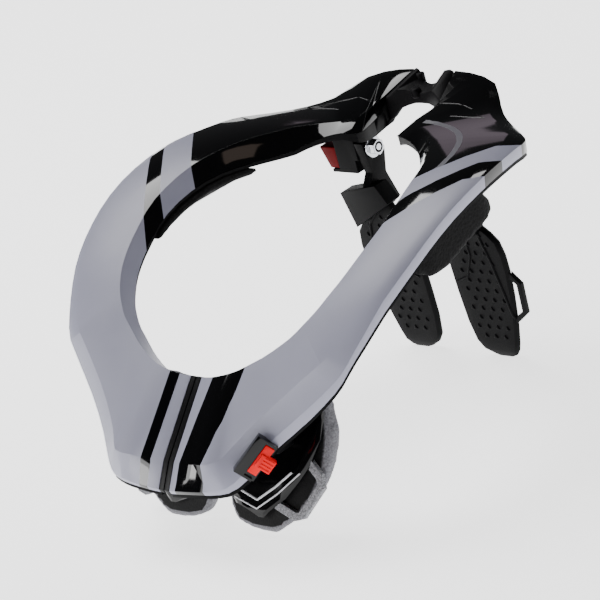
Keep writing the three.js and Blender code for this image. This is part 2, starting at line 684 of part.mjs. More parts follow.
function chestLoop() {
  const depth = -fit - loop_thick / 2;
  const line = chest_loop_line.map(({ x, z }) => chestShare(x, z, depth));
  const across = at(0, 1, -chest_lean).normalize();
  return cut(
    bar(line, across, chest_loop_band, loop_thick),
    moved(chest_plate, fit, 0, -fit),
    moved(chest_plate, fit, 0, fit),
    moved(chest_plate, 0, -fit, 0),
    moved(chest_pad, 0, -fit, 0),
  );
}

function chestHanger() {
  const face = chestPoint(hanger_x, hanger_z, -chest_plate_thick - fit);
  const post = block(
    at(hanger_x - hanger_width / 2, face.y - hanger_deep, hanger_z),
    at(hanger_x + hanger_width / 2, face.y + chest_plate_thick / 2, hanger_rise * collar_top),
  );
  return below(cut(post, moved(chest_plate, 0, -fit, 0)), collar_frame);
}

// Back wings hang upright behind the neck opening.
const wing_inner = wing_gap / 2;
const wing_front = bolt_place + wing_behind_bolt - wing_thick / 2;
const wingPoint = (x, z, depth) =>
  at(
    wing_inner + x * wing_width,
    wing_front - wing_lean * z * wing_height + depth,
    z * wing_height,
  );
const wing = rowSolid(wing_rows, 4, wingPoint, wing_thick, wing_bevel);

function wingLoop() {
  const line = wing_loop_line.map(({ x, z }) => wingPoint(x, z, wing_thick / 2));
  return cut(
    bar(line, at(0, 1, 0), wing_loop_band, loop_thick),
    moved(wing, fit, 0, fit),
    moved(wing, fit, 0, -fit),
  );
}

// Strut: a plate that turns on the bolt, and a knuckle that holds the wing's upper edge.
const strut_inner = strut_x - strut_thick / 2;
const strut_outer = strut_x + strut_thick / 2;
const knuckle_back = wing_front - wing_lean * knuckle_z + wing_thick - wing_bevel;
const knuckle_front = knuckle_back - knuckle_deep;
function strut() {
  const plate = sidePlate(
    [
      [bolt_place - strut_ahead, bolt_z + strut_over],
      [bolt_place + strut_behind, bolt_z + strut_over],
      [bolt_place + strut_behind + strut_bulge, bolt_z - strut_bulge_drop],
      [bolt_place + strut_behind, bolt_z - strut_waist_drop],
      [bolt_place + strut_heel, knuckle_z + strut_heel_rise],
      [knuckle_back, knuckle_z + strut_foot_rise],
      [knuckle_front + strut_toe, knuckle_z + knuckle_tall - strut_toe],
      [bolt_place - strut_front_waist, bolt_z - strut_front_drop],
    ],
    strut_inner,
    strut_outer,
  );
  const face = [
    [knuckle_outer_x, knuckle_z + knuckle_tall * knuckle_outer_rise],
    [knuckle_outer_x - knuckle_foot_in, knuckle_z],
    [knuckle_inner_x, knuckle_z + knuckle_tall * knuckle_inner_rise],
    [knuckle_inner_x + knuckle_head_in, knuckle_z + knuckle_tall],
  ];
  const knuckle = loft(
    [knuckle_front, knuckle_back].map((y) => face.map(([x, z]) => at(x, y, z))),
  );
  const bore = rod(
    bolt_radius + running_gap,
    strut_inner - bore_over,
    strut_outer + bore_over,
    bolt_place,
    bolt_z,
  );
  return cut(
    join(plate, knuckle),
    bore,
    moved(wing, 0, -fit, fit),
    moved(wing, 0, fit, fit),
    moved(wing, fit, 0, fit),
    moved(wing, -fit, 0, fit),
    wing,
  );
}

function strutBolt() {
  const washer_face = strut_inner - running_gap;
  const head_face = washer_face - washer_thick;
  return join(
    rod(bolt_radius, head_face, strut_outer + running_gap, bolt_place, bolt_z),
    rod(washer_radius, head_face, washer_face, bolt_place, bolt_z, 24),
    rod(bolt_head_radius, head_face - bolt_head_long, head_face + fit, bolt_place, bolt_z, 6),
  );
}

// Bracket under the rear of the collar, with a lug for the bolt and a shelf for the adjuster.
const bracket_front = bolt_place - bracket_ahead;
const lug_face = strut_outer + running_gap + fit;
function strutBracket() {
  const lug = block(
    at(lug_face, bracket_front, bolt_z - washer_radius),
    at(lug_face + lug_thick, bolt_place + washer_radius, collar_top),
  );
  const box = block(
    at(lug_face + lug_thick / 2, bracket_front, bracket_z),
    at(bracket_outer_x, bracket_front + bracket_deep, collar_top),
  );
  const shelf = block(
    at(bracket_outer_x - bracket_floor, bracket_front, bracket_z),
    at(bracket_outer_x + bracket_shelf, bracket_front + bracket_deep, bracket_z + bracket_floor),
  );
  return cut(below(join(lug, box, shelf), collar_frame), collar_shell);
}

function adjuster() {
  const low = bracket_z + bracket_floor + fit;
  const start = bracket_outer_x + fit;
  const outline = [
    [start, low],
    [start + adjuster_width * adjuster_foot, low],
    [start + adjuster_width, low + adjuster_tall],
    [start, low + adjuster_tall],
  ];
  const rings = [bracket_front + fit, bracket_front + bracket_deep - fit].map((y) =>
    outline.map(([x, z]) => at(x, y, z)),
  );
  return below(loft(rings), collar_frame);
}

// Latch on the lip near the front corner: along it, outward from it and down.
const latch_along = outer_line.getTangent(latch_share).normalize();
const latch_out = at(latch_along.y, -latch_along.x, 0).normalize();
latch_along.sub(latch_out.clone().multiplyScalar(latch_along.dot(latch_out))).normalize();
const latch_below = latch_out.clone().cross(latch_along).normalize();
if (latch_below.z > 0) latch_below.negate();
const latch_middle = outer_line.getPoint(latch_share);

function latchBlock(start, end, up, low, near, far) {
  const corner = (along, below_it, out) =>
    latch_middle
      .clone()
      .add(latch_along.clone().multiplyScalar(along))
      .add(latch_below.clone().multiplyScalar(below_it))
      .add(latch_out.clone().multiplyScalar(out));
  return loft(
    [start, end].map((along) => [
      corner(along, up, near),
      corner(along, low, near),
      corner(along, low, far),
      corner(along, up, far),
    ]),
  );
}
const outward = (geometry, by) => {
  const step = latch_out.clone().multiplyScalar(by);
  return moved(geometry, step.x, step.y, step.z);
};

const latch_face = fit + latch_back;
const latch_start = slider_start - slider_travel - fit - latch_wall;
const latch_end = slider_end + fit + latch_wall;
function latchHousing() {
  const face = fit + latch_ridge;
  const back = latchBlock(latch_start, latch_end, -latch_up, latch_down, -latch_sink, latch_face);
  const ridge = latchBlock(latch_start, latch_end, -latch_up, latch_ridge_down, -latch_sink, face);
  const walls = [latch_start, latch_end - latch_wall].map((start) =>
    latchBlock(
      start,
      start + latch_wall,
      -latch_up,
      latch_down * latch_wall_down,
      -latch_sink,
      face,
    ),
  );
  return largest(
    cut(
      join(back, ridge, ...walls),
      collar_shell,
      outward(collar_shell, fit),
      collar_frame,
      outward(collar_frame, fit),
    ),
  );
}

function latchSlider() {
  const near = latch_face + fit;
  const top = latch_ridge_down + fit;
  const bar_piece = latchBlock(
    slider_start,
    slider_end,
    top,
    top + slider_wide,
    near,
    near + slider_thick,
  );
  const thumb = latchBlock(
    thumb_start,
    thumb_end,
    top + thumb_set,
    thumb_down,
    near,
    near + thumb_thick,
  );
  const pitch = (thumb_end - thumb_start) / thumb_ribs;
  const ribs = Array.from({ length: thumb_ribs }, (_, i) => {
    const start = thumb_start + i * pitch + pitch / 4;
    return latchBlock(
      start,
      start + pitch / 2,
      top + slider_wide * thumb_rib_top,
      thumb_down - thumb_rib,
      near + thumb_thick - thumb_rib,
      near + thumb_thick + thumb_rib,
    );
  });
  return join(bar_piece, thumb, ...ribs);
}

const brace = new THREE.Group();

function piece(name, geometry, material, side = 1) {
  const mesh = new THREE.Mesh(geometry, material);
  mesh.name = name;
  mesh.scale.x = side;
  brace.add(mesh);
}

const paired = {
  collar_shell: [collar_shell, grey_shell],
  collar_frame: [collar_frame, black_nylon],
  front_trim: [frontTrim(), black_rubber],
  shoulder_pad: [shoulderPad(), black_foam],
  chest_plate: [chest_plate, gloss_black],
  chest_pad: [chest_pad, grey_foam],
  chest_loop: [chestLoop(), black_nylon],
  chest_hanger: [chestHanger(), black_nylon],
  wing: [wing, black_rubber],
  wing_loop: [wingLoop(), black_nylon],
  strut: [strut(), black_nylon],
  strut_bolt: [strutBolt(), bright_steel],
  strut_bracket: [strutBracket(), black_nylon],
  adjuster: [adjuster(), red_plastic],
};
for (const [name, [geometry, material]] of Object.entries(paired)) {
  piece(name + "_left", geometry, material);
  piece(name + "_right", geometry, material, -1);
}
piece("rear_bridge", rearBridge(), black_rubber);
piece("latch_housing", latchHousing(), gloss_black);
piece("latch_slider", latchSlider(), red_plastic);

export default brace;
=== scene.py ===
import json
import math

import bpy
from mathutils import Matrix, Vector

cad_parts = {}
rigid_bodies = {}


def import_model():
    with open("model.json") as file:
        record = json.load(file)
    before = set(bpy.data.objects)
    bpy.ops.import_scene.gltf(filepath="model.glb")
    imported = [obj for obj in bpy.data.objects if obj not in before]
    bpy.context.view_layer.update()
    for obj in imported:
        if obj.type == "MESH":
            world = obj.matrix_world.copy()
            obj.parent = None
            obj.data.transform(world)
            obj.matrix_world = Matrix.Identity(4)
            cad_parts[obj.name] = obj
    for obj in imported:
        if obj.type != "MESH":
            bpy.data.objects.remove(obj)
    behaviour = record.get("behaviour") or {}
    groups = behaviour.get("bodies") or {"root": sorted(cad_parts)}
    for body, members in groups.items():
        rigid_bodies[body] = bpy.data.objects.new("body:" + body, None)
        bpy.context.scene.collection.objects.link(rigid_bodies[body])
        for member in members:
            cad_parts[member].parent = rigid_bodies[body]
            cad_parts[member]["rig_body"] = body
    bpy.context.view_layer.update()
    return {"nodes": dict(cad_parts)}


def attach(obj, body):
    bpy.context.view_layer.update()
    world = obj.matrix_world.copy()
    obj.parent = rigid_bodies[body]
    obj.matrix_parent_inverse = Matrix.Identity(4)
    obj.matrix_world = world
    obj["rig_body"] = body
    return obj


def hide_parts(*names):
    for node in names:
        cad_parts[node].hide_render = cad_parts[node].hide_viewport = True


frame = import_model()
nodes = frame["nodes"]

# Camera: in front of the wearer's left shoulder, looking down on the collar through a long lens,
# and rolled as the photograph is.
eye = bpy.data.cameras.new("eye")
eye.lens = 210
eye.sensor_width = 36
eye.clip_start = 0.1
eye.clip_end = 50
camera = bpy.data.objects.new("camera", eye)
bpy.context.scene.collection.objects.link(camera)
standpoint = (1.3752, -1.2227, 0.8101)
look_right = Vector((0.712, 0.654, -0.256))
look_up = Vector((-0.081, 0.439, 0.895))
look_back = look_right.cross(look_up).normalized()
look_up = look_back.cross(look_right.normalized()).normalized()
camera.matrix_world = Matrix.Translation(standpoint) @ Matrix(
    (look_right.normalized(), look_up, look_back)
).transposed().to_4x4()
bpy.context.scene.camera = camera


# Studio: a pale floor lit from within, as a light table is, a large softbox overhead, one low in
# front, a strip behind, and cards that only show as reflections in the gloss black.
def colour(code):
    """A hex colour as a screen shows it, as the linear values that the shader takes."""
    parts = [int(code[i : i + 2], 16) / 255 for i in (1, 3, 5)]
    return [p / 12.92 if p < 0.04045 else ((p + 0.055) / 1.055) ** 2.4 for p in parts] + [1]


def add(tree, kind, inputs=None, **settings):
    """Adds a node with its settings and with each input set or linked."""
    made = tree.nodes.new(kind)
    for name, value in settings.items():
        setattr(made, name, value)
    for socket, value in (inputs or {}).items():
        if isinstance(value, bpy.types.NodeSocket):
            tree.links.new(value, made.inputs[socket])
        else:
            made.inputs[socket].default_value = value
    return made


def begin(name, **values):
    """A new material: its node tree, its shader with the given sockets set, and object
    coordinates."""
    made = bpy.data.materials.new(name)
    made.use_nodes = True
    tree = made.node_tree
    shader = tree.nodes["Principled BSDF"]
    for socket, value in values.items():
        shader.inputs[socket.replace("_", " ")].default_value = value
    place = add(tree, "ShaderNodeTexCoord").outputs["Object"]
    return made, tree, shader, place


paper = begin(
    "light_table",
    Base_Color=colour("#f4f4f5"),
    Roughness=0.9,
    Emission_Color=colour("#ffffff"),
    Emission_Strength=2.0,
)[0]
bpy.ops.object.select_all(action="DESELECT")
bpy.ops.mesh.primitive_plane_add(size=30, location=(0, 0, 0))
floor = bpy.context.object
floor.name = "floor"
floor.data.materials.append(paper)

world = bpy.data.worlds.new("studio")
world.use_nodes = True
world.node_tree.nodes["Background"].inputs["Color"].default_value = colour("#e9ebf0")
world.node_tree.nodes["Background"].inputs["Strength"].default_value = 0.05
bpy.context.scene.world = world

brace_middle = Vector((0, 0, 0.1))


def softbox(name, spot, width, height, power, tint="#ffffff", card=False):
    """A lit panel that faces the brace, with its place and size in metres and its power in
    watts. A card shows in gloss but lights nothing that is matt."""
    light = bpy.data.lights.new(name, "AREA")
    light.shape = "RECTANGLE"
    light.color = colour(tint)[:3]
    light.size = width
    light.size_y = height
    light.energy = power
    lamp = bpy.data.objects.new(name, light)
    bpy.context.scene.collection.objects.link(lamp)
    lamp.visible_diffuse = not card
    lamp.location = spot
    lamp.rotation_mode = "QUATERNION"
    lamp.rotation_quaternion = (brace_middle - Vector(spot)).to_track_quat("-Z", "Y")


softbox("overhead", (-1.0, 0.2, 1.7), 1.3, 1.3, 40)
softbox("front_low", (-1.15, -1.75, 0.72), 1.0, 0.7, 16)
softbox("rim", (0.9, 1.6, 1.0), 1.6, 0.5, 4)
softbox("front_card", (-1.3, -1.95, 0.9), 2.2, 1.0, 42, card=True)
softbox("rear_card", (-1.62, 1.98, 0.8), 0.5, 0.5, 0.5, "#d9c6d6", card=True)
softbox("patch_card", (-0.52, 1.2, 1.68), 0.36, 0.26, 2.2, card=True)
softbox("brown_card", (1.27, -0.4, 1.57), 0.5, 0.5, 0.8, "#f2d8c8", card=True)


# Collar: each half is one shell of injection-moulded nylon, satin grey, masked and sprayed gloss
# black in slanted bands and over its rear end. A rib folds down round its outer edge as a lip.
MM = 0.001


def select_only(piece):
    bpy.ops.object.select_all(action="DESELECT")
    bpy.context.view_layer.objects.active = piece
    piece.select_set(True)


def smooth(piece, degrees):
    """Shades smooth across every edge that turns by less than the angle."""
    select_only(piece)
    bpy.ops.object.shade_smooth_by_angle(angle=math.radians(degrees))


def finish_piece(piece, *modifiers):
    """Applies each modifier, given as its kind and its settings."""
    select_only(piece)
    for kind, settings in modifiers:
        made = piece.modifiers.new(kind.lower(), kind)
        for name, value in settings.items():
            setattr(made, name, value)
        bpy.ops.object.modifier_apply(modifier=made.name)


def dressed(name, source, *modifiers, degrees=35):
    """A merged copy of the moulded solid, with its corners rounded, that stands for it."""
    piece = bpy.data.objects.new(name, nodes[source].data.copy())
    piece.data.materials.clear()
    bpy.context.scene.collection.objects.link(piece)
    select_only(piece)
    bpy.ops.object.mode_set(mode="EDIT")
    bpy.ops.mesh.select_all(action="SELECT")
    bpy.ops.mesh.remove_doubles(threshold=0.002 * MM)
    bpy.ops.mesh.tris_convert_to_quads(
        face_threshold=math.radians(20), shape_threshold=math.radians(120)
    )
    bpy.ops.object.mode_set(mode="OBJECT")
    finish_piece(piece, *modifiers)
    smooth(piece, degrees)
    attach(piece, nodes[source]["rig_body"])
    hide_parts(source)
    return piece


def rounded(width, segments=3, corner=28):
    """A fillet of that many millimetres on every edge that turns by more than the corner's
    degrees."""
    return (
        "BEVEL",
        dict(
            width=width * MM,
            segments=segments,
            limit_method="ANGLE",
            angle_limit=math.radians(corner),
        ),
    )


# Lines across each half in plan, in mm from the mirror plane and the middle, each as two points.
# They bound what is black: the slanted band, all behind the grey block, and the front stripe.
band_front = {"right": ((90, -25.6), (116.2, 10.3)), "left": ((92, -14), (127, 28))}
band_rear = {"right": ((84.4, -16), (117.6, 25.7)), "left": ((89.9, 2), (120, 41))}
block_rear = {"right": ((81.1, 10.2), (115.4, 50)), "left": ((86.2, 22.2), (110, 57))}
stripe_inner = {"right": ((12.0, -141), (12.0, -98)), "left": ((9.4, -141), (14.5, -98))}
stripe_outer = {"right": ((18.2, -141), (18.4, -98)), "left": ((31.0, -141), (38.1, -98))}
sides_front = -60  # the band and the black rear end lie behind it
stripe_rear = -70  # the front stripe lies ahead of it
# The grey arc in the black of the left half, as part of a ring in plan, in mm.
arc_middle = (28, 27)
arc_inner, arc_outer = 64, 67.6
arc_start = 31  # from the mirror plane
mottle = 0.06  # clouds in the grey per mm, one each 17 mm
skin_grain = 2.2  # pits per mm: the real ones, a tenth of a millimetre wide, would not show
grey_roughness, black_roughness = 0.42, 0.06
grey_pits, black_pits = 0.05, 0.004


def sprayed_nylon(side):
    """Satin grey nylon with sprayed gloss black: the grey has a soft sheen and a fine moulded
    grain, and the black reflects the softboxes."""
    made, tree, shader, place = begin("sprayed_nylon_" + side, IOR=1.5)
    outwards = -1 if side == "right" else 1
    across = add(
        tree, "ShaderNodeVectorMath", {0: place, 1: (outwards, 1, 1)}, operation="MULTIPLY"
    ).outputs[0]
    out, back = add(tree, "ShaderNodeSeparateXYZ", {0: across}).outputs[:2]

    def beside(line, test):
        """One side of a line: GREATER_THAN is the left of the way from its first point to its
        second, seen from above, and LESS_THAN the right."""
        (x0, y0), (x1, y1) = line
        normal = Vector((-(y1 - y0), x1 - x0)).normalized()
        reach = add(
            tree,
            "ShaderNodeVectorMath",
            {0: across, 1: (normal.x, normal.y, 0)},
            operation="DOT_PRODUCT",
        ).outputs["Value"]
        start = (normal.x * x0 + normal.y * y0) * MM
        return add(tree, "ShaderNodeMath", {0: reach, 1: start}, operation=test).outputs[0]

    def limit(measure, edge, test):
        """Where a measure is over or under an edge in mm."""
        return add(tree, "ShaderNodeMath", {0: measure, 1: edge * MM}, operation=test).outputs[0]

    def overlap(shared, *masks):
        """Where every mask holds."""
        for mask in masks:
            shared = add(
                tree, "ShaderNodeMath", {0: shared, 1: mask}, operation="MULTIPLY"
            ).outputs[0]
        return shared

    flank = limit(back, sides_front, "GREATER_THAN")
    band = overlap(
        beside(band_front[side], "GREATER_THAN"), beside(band_rear[side], "LESS_THAN"), flank
    )
    rear_end = overlap(beside(block_rear[side], "GREATER_THAN"), flank)
    stripe = overlap(
        beside(stripe_inner[side], "LESS_THAN"),
        beside(stripe_outer[side], "GREATER_THAN"),
        limit(back, stripe_rear, "LESS_THAN"),
    )
    black = add(tree, "ShaderNodeMath", {0: band, 1: rear_end}, operation="MAXIMUM").outputs[0]
    clouds = add(
        tree, "ShaderNodeTexNoise", {"Vector": place, "Scale": mottle / MM, "Detail": 3}
    ).outputs["Fac"]
    grey = add(
        tree,
        "ShaderNodeMix",
        {0: clouds, 6: colour("#8f8fa1"), 7: colour("#9797a8")},
        data_type="RGBA",
    ).outputs[2]
    if side == "left":
        flat = add(
            tree, "ShaderNodeVectorMath", {0: across, 1: (1, 1, 0)}, operation="MULTIPLY"
        ).outputs[0]
        middle = (arc_middle[0] * MM, arc_middle[1] * MM, 0)
        away = add(
            tree, "ShaderNodeVectorMath", {0: flat, 1: middle}, operation="DISTANCE"
        ).outputs["Value"]
        arc = overlap(
            black,
            limit(out, arc_start, "GREATER_THAN"),
            limit(away, arc_outer, "LESS_THAN"),
            limit(away, arc_inner, "GREATER_THAN"),
        )
        black = add(tree, "ShaderNodeMath", {0: black, 1: arc}, operation="SUBTRACT").outputs[0]
        grey = add(
            tree, "ShaderNodeMix", {0: arc, 6: grey, 7: colour("#5c5b62")}, data_type="RGBA"
        ).outputs[2]
    black = add(tree, "ShaderNodeMath", {0: black, 1: stripe}, operation="MAXIMUM").outputs[0]
    paint = add(
        tree, "ShaderNodeMix", {0: black, 6: grey, 7: colour("#030304")}, data_type="RGBA"
    ).outputs[2]
    shine = add(
        tree, "ShaderNodeMix", {0: black, 2: grey_roughness, 3: black_roughness}, data_type="FLOAT"
    ).outputs[0]
    grain = add(
        tree, "ShaderNodeTexNoise", {"Vector": place, "Scale": skin_grain / MM, "Detail": 2}
    ).outputs["Fac"]
    depth = add(
        tree, "ShaderNodeMix", {0: black, 2: grey_pits, 3: black_pits}, data_type="FLOAT"
    ).outputs[0]
    bump = add(
        tree, "ShaderNodeBump", {"Height": grain, "Strength": depth, "Distance": 0.3 * MM}
    ).outputs[0]
    tree.links.new(paint, shader.inputs["Base Color"])
    tree.links.new(shine, shader.inputs["Roughness"])
    tree.links.new(bump, shader.inputs["Normal"])
    return made


def raised_line(name, carrier, source, points, radius, material, above=False):
    """A ridge moulded along a line of points in mm, which are cast onto the carrier from the
    front, or from above."""
    track = bpy.data.curves.new(name, "CURVE")
    track.dimensions = "3D"
    track.bevel_depth = radius * MM
    track.bevel_resolution = 3
    track.use_fill_caps = True
    casts_per_leg = 6
    steps = [
        Vector(a).lerp(Vector(b), share / casts_per_leg) * MM
        for a, b in zip(points, points[1:])
        for share in range(casts_per_leg)
    ] + [Vector(points[-1]) * MM]
    if above:
        casts = [carrier.ray_cast(Vector((*step, 1)), Vector((0, 0, -1))) for step in steps]
    else:
        casts = [carrier.ray_cast(Vector((x, -1, z)), Vector((0, 1, 0))) for x, z in steps]
    spots = [spot for found, spot, normal, index in casts if found]
    run = track.splines.new("POLY")
    run.points.add(len(spots) - 1)
    for point, spot in zip(run.points, spots):
        point.co = (*spot, 1)
    ridge = bpy.data.objects.new(name, track)
    bpy.context.scene.collection.objects.link(ridge)
    select_only(ridge)
    bpy.ops.object.convert(target="MESH")
    ridge = bpy.context.object
    smooth(ridge, degrees=50)
    ridge.data.materials.append(material)
    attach(ridge, nodes[source]["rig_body"])


def mirrored(points, side):
    """Points that are given for the wearer's left, on the side that is named."""
    return [(-x if side == "right" else x, other) for x, other in points]


# The raised outline on the black platform at the rear, in mm across and back.
platform_line = [(28, 112), (40, 114), (52, 111), (62, 104), (69, 102), (44, 101)]
for side in ("left", "right"):
    shell = dressed("collar_half_" + side, "collar_shell_" + side, rounded(0.9), degrees=28)
    sprayed = sprayed_nylon(side)
    shell.data.materials.append(sprayed)
    raised_line(
        "platform_line_" + side,
        shell,
        "collar_shell_" + side,
        mirrored(platform_line, side),
        0.2,
        sprayed,
        above=True,
    )


# Under-frame: a black glass-filled nylon moulding pressed up into each half; only its thin edge
# shows below the shell, and its moulded skin has a fine matt grain.
wear_clouds = 0.045  # per mm, one each 22 mm
wear_low, wear_high = 0.3, 0.7  # the range of the clouds that changes the sheen
wear_lift, wear_floor = 1.5, 0.002  # how much lighter a worn place is
sheen_low, sheen_high = 0.85, 1.1  # shares of the roughness at the ends of that range


def moulded(name, tone, roughness, grain_mm=0.5, depth=0.12):
    """Injection-moulded plastic or rubber: one colour, a little worn lighter in places, with the
    spark-eroded grain of its mould, drawn at about half a millimetre so that it shows."""
    made, tree, shader, place = begin(name, IOR=1.5, Specular_IOR_Level=0.06)
    wear = add(
        tree, "ShaderNodeTexNoise", {"Vector": place, "Scale": wear_clouds / MM, "Detail": 5}
    ).outputs["Fac"]
    light = [min(1, c * wear_lift + wear_floor) for c in colour(tone)[:3]] + [1]
    mix = add(
        tree, "ShaderNodeMix", {0: wear, 6: colour(tone), 7: light}, data_type="RGBA"
    ).outputs[2]
    grain = add(
        tree, "ShaderNodeTexNoise", {"Vector": place, "Scale": 1 / (grain_mm * MM), "Detail": 2}
    ).outputs["Fac"]
    rough = add(
        tree,
        "ShaderNodeMapRange",
        {
            0: wear,
            1: wear_low,
            2: wear_high,
            3: roughness * sheen_low,
            4: roughness * sheen_high,
        },
    ).outputs[0]
    bump = add(
        tree, "ShaderNodeBump", {"Height": grain, "Strength": depth, "Distance": 0.4 * MM}
    ).outputs[0]
    tree.links.new(mix, shader.inputs["Base Color"])
    tree.links.new(rough, shader.inputs["Roughness"])
    tree.links.new(bump, shader.inputs["Normal"])
    return made


black_nylon = moulded("grained_black_nylon", "#030304", 0.45)
for side in ("left", "right"):
    under = dressed("under_frame_" + side, "collar_frame_" + side, degrees=30)
    under.data.materials.append(black_nylon)

# Seam trims: a strip of dark rubber moulded over each front end, rounded where the two meet.
# Its smoother skin has a low sheen.
soft_rubber = moulded("seam_rubber", "#0c0c0d", 0.3)
for side in ("left", "right"):
    trim = dressed("seam_trim_" + side, "front_trim_" + side, rounded(1.0), degrees=40)
    trim.data.materials.append(soft_rubber)

# Rear bridge: a saddle of matt charcoal rubber that clips over the rear ends of both halves and
# lets the collar spring open. A knob and a low boss are moulded on its top.
saddle_rubber = moulded("saddle_rubber", "#0d0c0e", 0.5, grain_mm=0.7, depth=0.2)
saddle = dressed("rear_saddle", "rear_bridge", rounded(1.6, segments=4), degrees=50)
saddle.data.materials.append(saddle_rubber)
# Radius, height and middle in mm, and the rounding of the edges.
saddle_tops = {
    "saddle_knob": (2.6, 9, (-8.6, 138.2, 161), rounded(0.9, segments=4)),
    "saddle_boss": (3.2, 6, (-3.5, 126.2, 158.4), rounded(1.4, segments=5)),
}
for name, (radius, height, middle, edges) in saddle_tops.items():
    bpy.ops.object.select_all(action="DESELECT")
    bpy.ops.mesh.primitive_cylinder_add(
        vertices=32, radius=radius * MM, depth=height * MM, location=[v * MM for v in middle]
    )
    piece = bpy.context.object
    piece.name = name
    bpy.ops.object.transform_apply(location=True, rotation=True, scale=True)
    finish_piece(piece, edges)
    smooth(piece, degrees=40)
    piece.data.materials.append(saddle_rubber)
    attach(piece, nodes["rear_bridge"]["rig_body"])


# Shoulder pads: wedges of closed-cell foam under the collar's sides, wrapped in open mesh
# fabric, whose holes make a dark, soft face without a sheen.
def softened(name, source, voxel, rounds):
    """A foam body: the solid remeshed and relaxed until its corners are rounded."""
    return dressed(
        name,
        source,
        ("REMESH", dict(mode="VOXEL", voxel_size=voxel * MM)),
        ("SMOOTH", dict(factor=0.5, iterations=rounds)),
        degrees=180,
    )


mesh_holes = 0.62  # per mm, one each 1.6 mm
hole_edge, thread_top = 0.1, 0.6  # from a hole's middle, as shares of a cell
fabric, tree, shader, place = begin("air_mesh_fabric", Roughness=0.9, Specular_IOR_Level=0.2)
cells = add(
    tree, "ShaderNodeTexVoronoi", {"Vector": place, "Scale": mesh_holes / MM}, feature="F1"
).outputs["Distance"]
tone = add(
    tree, "ShaderNodeMapRange", {0: cells, 1: hole_edge, 2: thread_top, 3: 0.0, 4: 1.0}
).outputs[0]
mix = add(
    tree, "ShaderNodeMix", {0: tone, 6: colour("#020202"), 7: colour("#0d0d0e")}, data_type="RGBA"
).outputs[2]
bump = add(
    tree, "ShaderNodeBump", {"Height": cells, "Strength": 0.6, "Distance": 0.6 * MM}
).outputs[0]
tree.links.new(mix, shader.inputs["Base Color"])
tree.links.new(bump, shader.inputs["Normal"])
for side in ("left", "right"):
    pad = softened("shoulder_foam_" + side, "shoulder_pad_" + side, voxel=2.0, rounds=6)
    pad.data.materials.append(fabric)

# Chest plates: gloss black shields, polished in the mould, with two thin ridges that follow their
# lower point, coloured pale as a painted highlight along their bevels. Each line has a radius and
# points in mm across and up, seen from the front.
plate_lines = {
    "outer": (0.45, [(15.5, 19.0), (32.5, 14.6), (48.0, 23.6), (63.5, 35.0)]),
    "inner": (0.65, [(20.0, 23.0), (33.0, 19.2), (46.0, 26.8), (58.0, 35.2)]),
}
gloss = begin(
    "polished_black_plate",
    Base_Color=colour("#030304"),
    IOR=1.5,
    Roughness=0.08,
    Specular_IOR_Level=0.25,
)[0]
# Painted highlight: the ridges are coloured pale to stand for the light that their bevels catch.
painted_highlight_grey = begin("painted_highlight_line", Base_Color=colour("#d9d9de"), Roughness=0.3)[0]
for side in ("left", "right"):
    plate = dressed("chest_shield_" + side, "chest_plate_" + side, rounded(0.8))
    plate.data.materials.append(gloss)
    for line, (radius, points) in plate_lines.items():
        raised_line(
            "shield_line_" + line + "_" + side,
            plate,
            "chest_plate_" + side,
            mirrored(points, side),
            radius,
            painted_highlight_grey,
        )

# Chest pads: closed-cell foam behind each shield, black on its face, with the grey core showing
# along the bevelled rim. Its cells of half a millimetre are drawn twice as wide, to show.
foam_cells = 0.9  # per mm
face_way = (0, -0.93, 0.37)  # the way that the black face looks
rim_from, face_from = 0.965, 0.985  # how nearly a surface looks that way
foam, tree, shader, place = begin("two_layer_foam", Roughness=0.8, Specular_IOR_Level=0.2)
pores = add(
    tree, "ShaderNodeTexVoronoi", {"Vector": place, "Scale": foam_cells / MM}
).outputs["Distance"]
core = add(
    tree, "ShaderNodeMix", {0: pores, 6: colour("#5c5b60"), 7: colour("#87878c")}, data_type="RGBA"
).outputs[2]
facing = add(tree, "ShaderNodeNewGeometry").outputs["Normal"]
toward = add(
    tree, "ShaderNodeVectorMath", {0: facing, 1: face_way}, operation="DOT_PRODUCT"
).outputs["Value"]
face = add(
    tree, "ShaderNodeMapRange", {0: toward, 1: rim_from, 2: face_from, 3: 0.0, 4: 1.0}
).outputs[0]
mix = add(
    tree, "ShaderNodeMix", {0: face, 6: core, 7: colour("#0a0a0b")}, data_type="RGBA"
).outputs[2]
bump = add(
    tree, "ShaderNodeBump", {"Height": pores, "Strength": 0.4, "Distance": 0.5 * MM}
).outputs[0]
tree.links.new(mix, shader.inputs["Base Color"])
tree.links.new(bump, shader.inputs["Normal"])
for side in ("left", "right"):
    pad = softened("chest_foam_" + side, "chest_pad_" + side, voxel=1.6, rounds=5)
    pad.data.materials.append(foam)

# Strap loops and hangers of the chest paddles: stiff woven webbing stitched round a bar, speckled
# by its light and dark threads, and the black nylon post behind each shield.
webbing_threads = 1.5  # per mm
webbing, tree, shader, place = begin("speckled_webbing", Roughness=0.8)
threads = add(
    tree, "ShaderNodeTexVoronoi", {"Vector": place, "Scale": webbing_threads / MM}, feature="F1"
).outputs["Color"]
shade = add(tree, "ShaderNodeRGBToBW", {0: threads}).outputs[0]
mix = add(
    tree, "ShaderNodeMix", {0: shade, 6: colour("#4c4c50"), 7: colour("#a4a4a9")}, data_type="RGBA"
).outputs[2]
bump = add(
    tree, "ShaderNodeBump", {"Height": shade, "Strength": 0.5, "Distance": 0.5 * MM}
).outputs[0]
tree.links.new(mix, shader.inputs["Base Color"])
tree.links.new(bump, shader.inputs["Normal"])
for side in ("left", "right"):
    loop = dressed("chest_webbing_" + side, "chest_loop_" + side, rounded(0.6), degrees=40)
    loop.data.materials.append(webbing)
    post = dressed("chest_post_" + side, "chest_hanger_" + side, rounded(0.8))
    post.data.materials.append(black_nylon)

